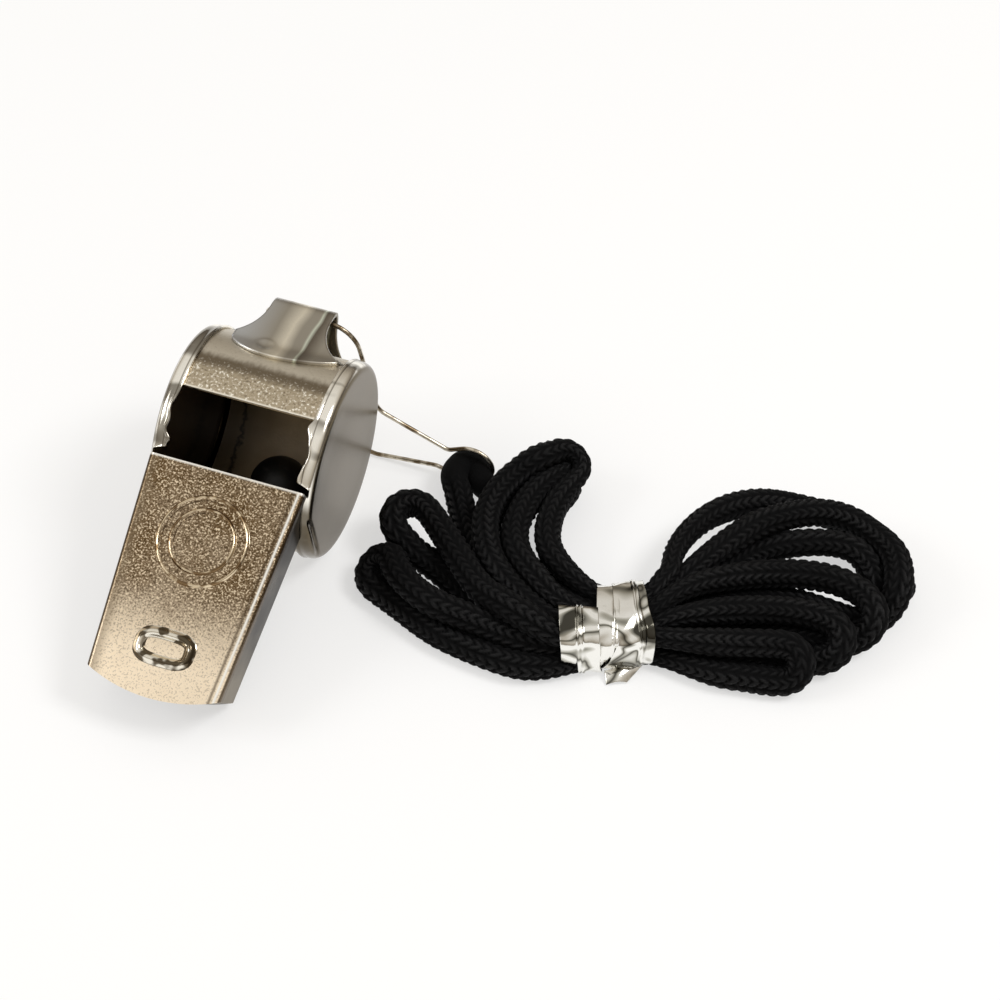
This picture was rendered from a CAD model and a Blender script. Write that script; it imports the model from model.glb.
"""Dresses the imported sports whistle: cord, foil tie, spring clip, pressed sheets and pea.

Lengths are in metres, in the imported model's own frame, except in the classes that say millimetres.
The whistle lies on z = 0 with its mouth towards -y, and the clip and the tied hank of cord lie on
its +x side.
"""

import logging
import math
from collections.abc import Mapping, Sequence
from dataclasses import dataclass, field
from enum import Enum

import bpy
import numpy as np
from mathutils import Matrix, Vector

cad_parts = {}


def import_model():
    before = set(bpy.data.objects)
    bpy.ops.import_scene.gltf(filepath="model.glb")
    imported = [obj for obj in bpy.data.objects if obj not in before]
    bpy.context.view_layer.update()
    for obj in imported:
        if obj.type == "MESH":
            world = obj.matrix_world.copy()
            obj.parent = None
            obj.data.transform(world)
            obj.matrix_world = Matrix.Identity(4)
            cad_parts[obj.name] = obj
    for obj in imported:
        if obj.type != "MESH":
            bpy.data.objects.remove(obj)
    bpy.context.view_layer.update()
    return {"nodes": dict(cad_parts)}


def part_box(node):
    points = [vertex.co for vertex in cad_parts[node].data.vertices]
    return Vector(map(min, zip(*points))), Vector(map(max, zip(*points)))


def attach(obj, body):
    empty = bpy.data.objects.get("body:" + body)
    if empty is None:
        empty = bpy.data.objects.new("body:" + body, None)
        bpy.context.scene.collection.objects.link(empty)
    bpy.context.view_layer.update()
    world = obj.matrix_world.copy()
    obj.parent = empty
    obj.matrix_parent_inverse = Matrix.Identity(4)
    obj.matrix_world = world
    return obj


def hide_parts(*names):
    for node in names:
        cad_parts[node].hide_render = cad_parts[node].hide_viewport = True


LOG = logging.getLogger("whistle")
MM = 0.001
TINY = 1e-9
WHITE = (1.0, 1.0, 1.0, 1.0)

Array = np.ndarray
# Most pairs say where a change starts and ends, or give a line's middle and half width, or a
# least value and what can be added to it.
Pair = tuple[float, float]
Wave = tuple[float, float, float]
Point = tuple[float, float, float]
Colour = tuple[float, float, float, float]
Stations = tuple[tuple[float, float, float, float], ...]


class Side(Enum):
    """Side of the whistle or the hank, as the sign of its place to the right."""

    LEFT = -1
    RIGHT = 1


def srgb(red: float, green: float, blue: float) -> Colour:
    """Turns a colour as it looks on a screen, from 0 to 255, into a shader's colour.

    Args:
        red: Red part, from 0 to 255.
        green: Green part, from 0 to 255.
        blue: Blue part, from 0 to 255.

    Returns:
        Linear red, green and blue, and 1 for alpha.
    """
    linear = [
        part / 12.92 if part <= 0.04045 else ((part + 0.055) / 1.055) ** 2.4
        for part in (red / 255, green / 255, blue / 255)
    ]
    return (linear[0], linear[1], linear[2], 1.0)


def smoothstep(value: Array, low: float, high: float) -> Array:
    """Rises smoothly from 0 at low to 1 at high.

    Args:
        value: Numbers to map.
        low: Number that gives 0.
        high: Number that gives 1.

    Returns:
        The mapped numbers.
    """
    share = np.clip((value - low) / (high - low), 0, 1)
    return share * share * (3 - 2 * share)


def unit(vectors: Array) -> Array:
    """Returns the vectors, one per row, at length 1."""
    return vectors / np.linalg.norm(vectors, axis=-1, keepdims=True)


def turned(first: Array, second: Array, angle: float) -> tuple[Array, Array]:
    """Turns places in a plane, from the first direction towards the second.

    Args:
        first: Places along the first direction.
        second: Places along the second one.
        angle: Angle of the turn, in radians.

    Returns:
        The turned places along the same two directions.
    """
    cosine, sine = math.cos(angle), math.sin(angle)
    return first * cosine - second * sine, first * sine + second * cosine


def squared_circle(angle: Array, power: float) -> tuple[Array, Array]:
    """Draws a circle whose sides are pressed flat.

    Args:
        angle: Angles in radians.
        power: 1 for a circle, and less for flatter sides.

    Returns:
        Places along the first and the second direction, from -1 to 1.
    """
    cosine, sine = np.cos(angle), np.sin(angle)
    return np.sign(cosine) * np.abs(cosine) ** power, np.sign(sine) * np.abs(sine) ** power


def ripple(value: Array, middle: float, width: float) -> Array:
    """Returns a bell of height 1 round the middle."""
    return np.exp(-(((value - middle) / width) ** 2))


def averaged(points: Array) -> Array:
    """Returns the inner points of a line, each half way to its two neighbours' middle."""
    return points[1:-1] / 2 + (points[:-2] + points[2:]) / 4


def resample(points: Array, step: float) -> Array:
    """Lays points at equal steps along a line.

    Args:
        points: Points of the line, one per row.
        step: Wanted distance between neighbours.

    Returns:
        The new points, which keep the line's two ends.
    """
    reach = np.r_[0, np.cumsum(np.linalg.norm(np.diff(points, axis=0), axis=1))]
    places = np.linspace(0, reach[-1], int(round(reach[-1] / step)) + 1)
    return np.stack([np.interp(places, reach, column) for column in points.T], 1)


def spline(points: Array, pieces: int) -> Array:
    """Draws a smooth curve through points, with no loops between points at uneven distances.

    Args:
        points: Points that the curve passes through, one per row.
        pieces: Number of steps between two of them.

    Returns:
        The curve's points.
    """
    ends = np.vstack([2 * points[0] - points[1], points, 2 * points[-1] - points[-2]])
    curve = []
    for p0, p1, p2, p3 in zip(ends, ends[1:], ends[2:], ends[3:]):
        spans = ((p0, p1), (p1, p2), (p2, p3))
        gaps = [max(np.linalg.norm(b - a), TINY) ** 0.5 for a, b in spans]
        t0, t1, t2, t3 = np.r_[0, np.cumsum(gaps)]
        t = np.linspace(t1, t2, pieces, endpoint=False)[:, None]
        a1 = ((t1 - t) * p0 + (t - t0) * p1) / (t1 - t0)
        a2 = ((t2 - t) * p1 + (t - t1) * p2) / (t2 - t1)
        a3 = ((t3 - t) * p2 + (t - t2) * p3) / (t3 - t2)
        b1 = ((t2 - t) * a1 + (t - t0) * a2) / (t2 - t0)
        b2 = ((t3 - t) * a2 + (t - t1) * a3) / (t3 - t1)
        curve.append(((t2 - t) * b1 + (t - t1) * b2) / (t2 - t1))
    return np.vstack([*curve, points[-1:]])


def carried_frames(points: Array) -> tuple[Array, Array, Array]:
    """Carries a square cross-section along a line without letting it twist.

    Args:
        points: Points of the line, one per row.

    Returns:
        Directions ahead, sideways and up at each point.
    """
    ahead = unit(np.gradient(points, axis=0))
    side = np.zeros_like(points)
    side[0] = unit(np.cross(ahead[0], (0.0, 0.0, 1.0)))
    for i in range(1, len(points)):
        carried = side[i - 1] - ahead[i] * (side[i - 1] @ ahead[i])
        side[i] = carried / np.linalg.norm(carried)
    return ahead, side, np.cross(side, ahead)


def grid_faces(rows: int, columns: int, closed: bool) -> Array:
    """Lists the quads of a grid of vertices, numbered row by row.

    Args:
        rows: Number of rows.
        columns: Number of vertices in a row.
        closed: Whether each row closes on itself.

    Returns:
        Four vertex numbers per face.
    """
    across = columns if closed else columns - 1
    row, column = np.meshgrid(np.arange(rows - 1), np.arange(across), indexing="ij")
    following = (column + 1) % columns
    corners = [
        row * columns + column,
        row * columns + following,
        (row + 1) * columns + following,
        (row + 1) * columns + column,
    ]
    return np.stack([corner.ravel() for corner in corners], 1)


def slab(sheets: tuple[Array, Array], first: int = 0) -> tuple[Array, list]:
    """Joins two surfaces into one closed thin slab.

    Args:
        sheets: Outer and inner grids of points.
        first: Number of the slab's first vertex in the whole mesh.

    Returns:
        The slab's points and its faces.
    """
    outer, inner = sheets
    rows, columns = outer.shape[:2]
    count = rows * columns
    top = grid_faces(rows, columns, False)
    faces = [*top, *(top[:, ::-1] + count)]
    rim = [*range(columns), *range(2 * columns - 1, count, columns)]
    rim += [*range(count - 2, count - columns - 1, -1), *range(count - 2 * columns, 0, -columns)]
    for a, b in zip(rim, rim[1:] + rim[:1]):
        faces.append([b, a, a + count, b + count])
    points = np.vstack([outer.reshape(-1, 3), inner.reshape(-1, 3)])
    return points, [[corner + first for corner in face] for face in faces]


def linked(name: str, data: bpy.types.ID) -> bpy.types.Object:
    """Makes an object from its data and links it to the scene.

    Args:
        name: Name of the object.
        data: Its mesh, camera or light.

    Returns:
        The new object.
    """
    made = bpy.data.objects.new(name, data)
    bpy.context.scene.collection.objects.link(made)
    return made


def placed(place: Point, right: Array, up: Array, back: Array) -> Matrix:
    """Matrix of an object at a place, with its own right, up and back directions.

    Args:
        place: Where the object is.
        right: Its x direction.
        up: Its y direction.
        back: Its z direction, away from what it looks at.

    Returns:
        The object's matrix in the scene.
    """
    turn = Matrix(np.stack([right, up, back], 1).tolist()).to_4x4()
    return Matrix.Translation(place) @ turn


def mesh_piece(name: str, vertices: Array, faces: Sequence, body: str) -> bpy.types.Object:
    """Makes a smooth-shaded mesh piece that rides on a body.

    Args:
        name: Name of the piece.
        vertices: Points in metres, one per row.
        faces: Vertex numbers of each face.
        body: Body that carries the piece.

    Returns:
        The new object.
    """
    mesh = bpy.data.meshes.new(name)
    mesh.from_pydata(vertices.tolist(), [], [list(map(int, face)) for face in faces])
    mesh.validate()
    mesh.shade_smooth()
    piece = linked(name, mesh)
    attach(piece, body)
    return piece


class Value:
    """A shader socket, so that shader maths is written as Python expressions."""

    def __init__(self, graph: "Graph", socket: bpy.types.NodeSocket) -> None:
        """Keeps the socket with the graph that it belongs to."""
        self.graph = graph
        self.socket = socket

    def maths(self, operation: str, *terms: "Value | float") -> "Value":
        """Adds one Math node and returns its result."""
        return self.graph.value("ShaderNodeMath", {"operation": operation}, dict(enumerate(terms)))

    def __add__(self, other: "Value | float") -> "Value":
        """Sum."""
        return self.maths("ADD", self, other)

    def __sub__(self, other: "Value | float") -> "Value":
        """Difference."""
        return self.maths("SUBTRACT", self, other)

    def __rsub__(self, other: float) -> "Value":
        """Difference from a number."""
        return self.maths("SUBTRACT", other, self)

    def __mul__(self, other: "Value | float") -> "Value":
        """Product."""
        return self.maths("MULTIPLY", self, other)

    def __truediv__(self, other: "Value | float") -> "Value":
        """Quotient."""
        return self.maths("DIVIDE", self, other)

    def __abs__(self) -> "Value":
        """Size without the sign."""
        return self.maths("ABSOLUTE", self)

    __radd__ = __add__
    __rmul__ = __mul__

    def least(self, other: "Value | float") -> "Value":
        """The lower of the two."""
        return self.maths("MINIMUM", self, other)

    def most(self, other: "Value | float") -> "Value":
        """The higher of the two."""
        return self.maths("MAXIMUM", self, other)

    def rise(self, low: float, high: float) -> "Value":
        """Smooth step from 0 at low to 1 at high."""
        settings = {"interpolation_type": "SMOOTHSTEP"}
        return self.graph.value("ShaderNodeMapRange", settings, {0: self, 1: low, 2: high})

    def spread(self, least: float, more: float) -> "Value":
        """Goes from least, where this value is 0, to least and more, where it is 1."""
        return least + self * more

    def bump_at(self, centre: float, width: float) -> "Value":
        """Smooth hill of height 1 round centre that ends a width away on both sides."""
        return 1 - abs(self - centre).rise(0.0, width)


class Graph:
    """The nodes of one material or world."""

    def __init__(self, tree: bpy.types.NodeTree) -> None:
        """Empties the tree and keeps it."""
        self.tree = tree
        tree.nodes.clear()

    def node(
        self,
        kind: str,
        settings: Mapping[str, object] | None = None,
        inputs: Mapping[str | int, object] | None = None,
    ) -> bpy.types.Node:
        """Adds one node.

        Args:
            kind: Node type.
            settings: The node's own settings, set first. "stops" gives a ramp's stops.
            inputs: Value or link of each named or numbered input.

        Returns:
            The new node.
        """
        made = self.tree.nodes.new(kind)
        for name, setting in (settings or {}).items():
            if name == "stops":
                self.set_stops(made.color_ramp, setting)
            else:
                setattr(made, name, setting)
        for name, given in (inputs or {}).items():
            if isinstance(given, Value):
                self.tree.links.new(given.socket, made.inputs[name])
            else:
                made.inputs[name].default_value = given
        return made

    @staticmethod
    def set_stops(ramp: bpy.types.ColorRamp, stops: Sequence[tuple[float, Colour]]) -> None:
        """Gives a ramp its stops.

        Args:
            ramp: The ramp.
            stops: Place and colour of each stop, in rising order.
        """
        while len(ramp.elements) < len(stops):
            ramp.elements.new(1.0)
        for element, (place, colour) in zip(ramp.elements, stops):
            element.position = place
            element.color = colour

    def value(
        self,
        kind: str,
        settings: Mapping[str, object] | None = None,
        inputs: Mapping[str | int, object] | None = None,
        output: str | int = 0,
    ) -> Value:
        """Adds one node and returns one of its outputs.

        Args:
            kind: Node type.
            settings: The node's own settings.
            inputs: Value or link of each input.
            output: Name or number of the output.

        Returns:
            That output.
        """
        return Value(self, self.node(kind, settings, inputs).outputs[output])

    def place(self) -> Value:
        """Place of the shaded point in the object's own coordinates."""
        return self.value("ShaderNodeTexCoord", output="Object")

    def vector(self, operation: str, *terms: Value | Sequence[float]) -> Value:
        """Adds one Vector Math node.

        Args:
            operation: The node's operation.
            terms: The one or two vectors that it works on.

        Returns:
            Its result. A length or a dot product is a number, which has an output of its own.
        """
        output = 1 if operation in ("DOT_PRODUCT", "LENGTH") else 0
        settings = {"operation": operation}
        return self.value("ShaderNodeVectorMath", settings, dict(enumerate(terms)), output)

    def mix(self, factor: Value | float, first: Value | Colour, second: Value | Colour) -> Value:
        """Colour that goes from first to second with the factor."""
        settings = {"data_type": "RGBA"}
        return self.value("ShaderNodeMix", settings, {0: factor, 6: first, 7: second}, 2)

    def ramp(self, factor: Value, stops: Sequence[tuple[float, Colour]]) -> Value:
        """Colour from a ramp with these stops."""
        return self.value("ShaderNodeValToRGB", {"stops": stops}, {0: factor})

    def noise(self, where: Value, size: float, detail: float = 2.0, stretch: float = 0.0) -> Value:
        """Noise whose spots are about a given size.

        Args:
            where: Place to read it at.
            size: Size of a spot, in metres.
            detail: How many finer layers it has.
            stretch: Distortion of the spots.

        Returns:
            A value round 0.5.
        """
        inputs = {"Vector": where, "Scale": 1 / size, "Detail": detail, "Distortion": stretch}
        return self.value("ShaderNodeTexNoise", {}, inputs)

    def bump(self, height: Value, distance: float, strength: float = 1.0) -> Value:
        """Normal that follows a height from 0 to 1, which stands for the distance in metres."""
        inputs = {"Height": height, "Distance": distance, "Strength": strength}
        return self.value("ShaderNodeBump", {}, inputs)

    def finish(self, shader: str, inputs: Mapping[str | int, object]) -> None:
        """Adds the shader and joins it to the tree's output.

        Args:
            shader: Type of the shader node.
            inputs: Its values and links.
        """
        self.node("ShaderNodeOutputMaterial", {}, {"Surface": self.value(shader, {}, inputs)})

    def surface(
        self, colour: Value, roughness: Value, normal: Value, **more: Value | float
    ) -> None:
        """Finishes the tree as a plain surface.

        Args:
            colour: Base colour.
            roughness: Roughness.
            normal: Normal with the surface's relief.
            more: Other inputs of the shader, with _ for each space in their names.
        """
        inputs = {"Base Color": colour, "Roughness": roughness, "Normal": normal}
        inputs.update({name.replace("_", " "): given for name, given in more.items()})
        self.finish("ShaderNodeBsdfPrincipled", inputs)

    def metal(self, colour: Value, roughness: Value, normal: Value) -> None:
        """Finishes the tree as bare metal."""
        self.surface(colour, roughness, normal, Metallic=1.0)


@dataclass(frozen=True)
class BarrelAxis:
    """The barrel's axis, with the whistle's own directions: rearward, and up from its top plate.

    The pitch is the slope of the top plate, which rises rearwards as the whistle lies.
    """

    y: float
    z: float
    pitch: float = math.radians(27.624)

    @staticmethod
    def from_frame() -> "BarrelAxis":
        """Finds the axis in the middle of an end cap."""
        low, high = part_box("right_end_cap")
        return BarrelAxis((low.y + high.y) / 2, (low.z + high.z) / 2)

    def to_frame(self, points: Array) -> Array:
        """Places points given from the axis: right, rearward and up, in millimetres.

        Args:
            points: Points, as a grid or a list.

        Returns:
            The points in metres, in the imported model's frame.
        """
        y, z = turned(points[..., 1], points[..., 2], self.pitch)
        return np.stack([points[..., 0] * MM, self.y + y * MM, self.z + z * MM], -1)

    def away(self, graph: Graph) -> Value:
        """Place of the shaded point, seen from the axis."""
        return graph.vector("SUBTRACT", graph.place(), (0.0, self.y, self.z))

    def rearward(self, graph: Graph) -> Value:
        """Distance behind the axis, along the top plate."""
        along = (0.0, math.cos(self.pitch), math.sin(self.pitch))
        return graph.vector("DOT_PRODUCT", self.away(graph), along)

    def above(self, graph: Graph) -> Value:
        """Distance over the axis, square to the top plate."""
        up = (0.0, -math.sin(self.pitch), math.cos(self.pitch))
        return graph.vector("DOT_PRODUCT", self.away(graph), up)

    def sideways(self, graph: Graph) -> Value:
        """Distance to the right of the whistle's middle."""
        return graph.vector("DOT_PRODUCT", graph.place(), (1.0, 0.0, 0.0))

    def radius(self, graph: Graph) -> Value:
        """Distance from the axis."""
        across = graph.vector("MULTIPLY", self.away(graph), (0.0, 1.0, 1.0))
        return graph.vector("LENGTH", across)

    def degrees(self, graph: Graph) -> Value:
        """Angle round the axis from the rear towards the top, in degrees from -180 to 180."""
        angle = self.above(graph).maths("ARCTAN2", self.above(graph), self.rearward(graph))
        return angle * (180 / math.pi)


@dataclass(frozen=True)
class Finish:
    """A finish with a name; each kind says how its nodes are made.

    A share says how strongly a layer covers what is under it, from 0 to 1. A roughness that is a
    pair has a least value and what a noise can add to it.
    """

    name: str

    def material(self) -> bpy.types.Material:
        """Makes the material.

        Returns:
            The new material.
        """
        made = bpy.data.materials.new(self.name)
        made.use_nodes = True
        self.draw(Graph(made.node_tree))
        return made

    def draw(self, graph: Graph) -> None:
        """Draws the finish in an empty graph."""
        raise NotImplementedError

    def dress(self, *pieces: bpy.types.Object) -> None:
        """Gives the pieces this finish in every slot.

        Args:
            pieces: Objects to dress.
        """
        made = self.material()
        for piece in pieces:
            if not piece.material_slots:
                piece.data.materials.append(made)
            for slot in piece.material_slots:
                slot.material = made


@dataclass(frozen=True)
class GrainyPlate(Finish):
    """Plated top sheet: sparkling champagne grain, brown by the window and pale by the mouth.

    A bright line and a dark one run beside its right edge, and a calmer strip by its left. The
    browning is measured along the plate from the barrel's axis, and the rest from an edge.
    """

    axis: BarrelAxis
    pale: Colour = srgb(250, 233, 207)
    brown: Colour = srgb(112, 90, 62)
    spark: Colour = srgb(240, 222, 192)
    pit: Colour = srgb(66, 50, 32)
    smooth: Colour = srgb(118, 102, 80)
    glint: Colour = srgb(255, 253, 246)
    cloud: float = 5 * MM
    grain: float = 0.21 * MM
    relief: float = 0.02 * MM
    roughness: Pair = (0.28, 0.12)
    cloudiness: float = 0.5
    brown_share: float = 0.92
    coarseness: Pair = (0.4, 0.6)
    sparks: Pair = (0.53, 0.64)
    spark_share: float = 0.9
    pits: Pair = (0.37, 0.48)
    pit_share: float = 0.8
    window_half: float = 9.45 * MM
    window_back: float = 7.5 * MM
    narrowing: float = 0.0595
    browning: Pair = (-31.2 * MM, -20 * MM)
    calming: Pair = (0.3 * MM, 2.2 * MM)
    bright_line: Pair = (0.62 * MM, 0.26 * MM)
    dark_line: Pair = (1.15 * MM, 0.3 * MM)
    right_edge: Pair = (0.12 * MM, 0.36 * MM)
    left_edge: Pair = (0.3 * MM, 0.5 * MM)
    window_edge: Pair = (-0.35 * MM, -0.1 * MM)
    calm_share: float = 0.6
    dark_line_share: float = 0.7
    edge_share: float = 0.85
    window_edge_share: float = 0.8

    def draw(self, graph: Graph) -> None:
        """Draws clouds of brown in the pale metal, then grains over them, then the edges.

        Args:
            graph: Empty graph of the finish.
        """
        where = graph.place()
        along = self.axis.rearward(graph)
        side = self.axis.sideways(graph)
        clouds = graph.noise(where, self.cloud, 3.0)
        browning = along.rise(*self.browning) * self.brown_share
        browning = browning + (clouds - 0.5) * self.cloudiness
        browning = browning.most(0.0).least(1.0)
        ground = graph.mix(browning, self.pale, self.brown)
        grains = graph.noise(where, self.grain, 3.0)
        coarse = browning.spread(*self.coarseness)
        sparks = grains.rise(*self.sparks) * coarse * self.spark_share
        pits = (1 - grains.rise(*self.pits)) * coarse * self.pit_share
        grainy = graph.mix(pits, graph.mix(sparks, ground, self.spark), self.pit)
        half = self.window_half + (along + self.window_back) * self.narrowing
        from_right, from_left = half - side, half + side
        calm = 1 - from_left.rise(*self.calming)
        edged = graph.mix(calm * self.calm_share, grainy, self.smooth)
        dark_line = from_right.bump_at(*self.dark_line) * self.dark_line_share
        edged = graph.mix(dark_line, edged, self.pit)
        edged = graph.mix(from_right.bump_at(*self.bright_line), edged, self.glint)
        rims = (1 - from_right.rise(*self.right_edge)).most(1 - from_left.rise(*self.left_edge))
        edged = graph.mix(rims * self.edge_share, edged, self.pit)
        rear = (along + self.window_back).rise(*self.window_edge)
        shown = graph.mix(rear * self.window_edge_share, edged, self.glint)
        relief = graph.bump(grains, self.relief, 0.6)
        graph.metal(shown, clouds.spread(*self.roughness), relief)


@dataclass(frozen=True)
class FoldedWall(Finish):
    """Plated side wall and floor sheet: brown mirror by the barrel, grey satin by the mouth."""

    axis: BarrelAxis
    seam: Pair = (9.62 * MM, 0.16 * MM)
    darkening: Pair = (-34 * MM, -21 * MM)
    mark: float = 0.2 * MM
    patch: float = 3 * MM
    dot: float = 0.5 * MM
    relief: float = 0.01 * MM
    roughness: Pair = (0.24, 0.12)
    patchiness: float = 0.6
    dots: Pair = (0.46, 0.58)
    seam_share: Pair = (0.35, 0.65)
    grey: Colour = srgb(134, 123, 104)
    dark: Colour = srgb(40, 33, 24)
    tarnish: Colour = srgb(24, 20, 16)

    def draw(self, graph: Graph) -> None:
        """Draws a change along the wall, long faint drawing marks, and a dotted seam.

        Args:
            graph: Empty graph of the finish.
        """
        where = graph.place()
        lines = graph.noise(graph.vector("MULTIPLY", where, (1.0, 0.08, 0.08)), self.mark, 2.0)
        patches = graph.noise(where, self.patch, 2.0)
        darkening = self.axis.rearward(graph).rise(*self.darkening)
        darkening = darkening + (patches - 0.5) * self.patchiness
        wall = graph.mix(darkening.most(0.0).least(1.0), self.grey, self.dark)
        dots = graph.noise(where, self.dot, 1.0).rise(*self.dots)
        seam = self.axis.above(graph).bump_at(*self.seam) * dots.spread(*self.seam_share)
        shown = graph.mix(seam, wall, self.tarnish)
        relief = graph.bump(lines, self.relief, 0.4)
        graph.metal(shown, patches.spread(*self.roughness), relief)


@dataclass(frozen=True)
class RolledBarrel(Finish):
    """Plated wrap: pale behind, a ragged dark streak, coarse grain, and a bright sounding lip.

    Inside the barrel the sheet is a cloudy brown, with one ragged tarnished line. The streak, the
    grain and the lip are placed by their angle round the axis, in degrees.
    """

    axis: BarrelAxis
    inner_radius: float = 11.6 * MM
    streak_at: Pair = (57.0, 64.0)
    grained_from: Pair = (66.0, 73.0)
    coarse_from: Pair = (62.0, 73.0)
    lip: Pair = (85.0, 1.2)
    raggedness: float = 5.0
    rag: float = 1.2 * MM
    grain: float = 0.3 * MM
    relief: float = 0.03 * MM
    roughness: Pair = (0.3, 0.15)
    sparks: Pair = (0.54, 0.7)
    pits: Pair = (0.3, 0.46)
    pit_share: Pair = (0.15, 0.7)
    lip_share: float = 0.8
    stain_share: float = 0.9
    shaded_share: float = 0.85
    inner_fade: float = 0.1 * MM
    stain_line: Pair = (-6.8 * MM, 0.5 * MM)
    stain_wobble: float = 2.2 * MM
    wobble: float = 0.9 * MM
    cloud: float = 4 * MM
    shaded_left: Pair = (-8.5 * MM, 2 * MM)
    pale: Colour = srgb(214, 206, 190)
    streak: Colour = srgb(120, 108, 90)
    grain_ground: Colour = srgb(184, 170, 146)
    spark: Colour = srgb(255, 250, 236)
    inner_bright: Colour = srgb(252, 230, 192)
    dim: Colour = srgb(190, 162, 120)
    tarnish: Colour = srgb(30, 22, 14)

    def draw(self, graph: Graph) -> None:
        """Draws the outside, the inside, and the change at the sheet's inner radius.

        Args:
            graph: Empty graph of the finish.
        """
        grains = graph.noise(graph.place(), self.grain, 3.0)
        radius = self.axis.radius(graph)
        inner = 1 - radius.rise(self.inner_radius - self.inner_fade, self.inner_radius)
        shown = graph.mix(inner, self.outside(graph, grains), self.within(graph))
        relief = graph.bump(grains, self.relief, 0.6)
        graph.surface(shown, grains.spread(*self.roughness), relief, Metallic=1 - inner)

    def outside(self, graph: Graph, grains: Value) -> Value:
        """Draws bands round the barrel by their angle, then grains over them.

        Args:
            graph: Graph of the finish.
            grains: Noise of the grain.

        Returns:
            Colour of the outside.
        """
        angle = self.axis.degrees(graph)
        stretched = graph.vector("MULTIPLY", graph.place(), (2.2, 1.0, 1.0))
        line = angle + (graph.noise(stretched, self.rag, 3.0) - 0.5) * self.raggedness
        ground = graph.mix(line.rise(*self.streak_at), self.pale, self.streak)
        ground = graph.mix(line.rise(*self.grained_from), ground, self.grain_ground)
        coarse = line.rise(*self.coarse_from)
        lit = graph.mix(grains.rise(*self.sparks) * coarse, ground, self.spark)
        shade = (1 - grains.rise(*self.pits)) * coarse.spread(*self.pit_share)
        shaded = graph.mix(shade, lit, self.streak)
        return graph.mix(angle.bump_at(*self.lip) * self.lip_share, shaded, self.spark)

    def within(self, graph: Graph) -> Value:
        """Draws the inside: cloudy brown, darker on the left, with the tarnished line.

        Args:
            graph: Graph of the finish.

        Returns:
            Colour of the inside.
        """
        where, side = graph.place(), self.axis.sideways(graph)
        wobble = (graph.noise(where, self.wobble, 4.0) - 0.5) * self.stain_wobble
        stain = (side + wobble).bump_at(*self.stain_line)
        cloudy = graph.mix(graph.noise(where, self.cloud, 2.0), self.inner_bright, self.dim)
        shade = (1 - side.rise(*self.shaded_left)) * self.shaded_share
        cloudy = graph.mix(shade, cloudy, self.tarnish)
        return graph.mix(stain * self.stain_share, cloudy, self.tarnish)


@dataclass(frozen=True)
class FoldedLug(Finish):
    """Plated lug: cool grey on the left, a warm upright sheen, and darker on the right."""

    half_width: float = 6 * MM
    wander: float = 1.2 * MM
    cloud: float = 6 * MM
    grain: float = 0.22 * MM
    relief: float = 0.012 * MM
    roughness: Pair = (0.24, 0.14)
    grain_share: float = 0.25
    grey: Colour = srgb(206, 209, 213)
    warm: Colour = srgb(255, 248, 230)
    dull: Colour = srgb(176, 170, 158)
    line: Colour = srgb(240, 248, 232)
    dark: Colour = srgb(104, 94, 82)

    def draw(self, graph: Graph) -> None:
        """Draws upright bands across the width, with fine grain.

        Args:
            graph: Empty graph of the finish.
        """
        where = graph.place()
        wander = (graph.noise(where, self.cloud, 1.0) - 0.5) * self.wander
        side = graph.vector("DOT_PRODUCT", where, (1.0, 0.0, 0.0)) + wander
        share = (side + self.half_width) / (2 * self.half_width)
        bands = graph.ramp(share, (
            (0.08, self.grey), (0.36, self.dull), (0.52, self.warm), (0.62, self.dull),
            (0.7, self.dull), (0.72, self.line), (0.75, self.dark), (0.88, self.dull),
        ))
        grains = graph.noise(where, self.grain, 3.0)
        shown = graph.mix(grains * self.grain_share, bands, self.dull)
        relief = graph.bump(grains, self.relief, 0.5)
        graph.metal(shown, grains.spread(*self.roughness), relief)


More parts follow.
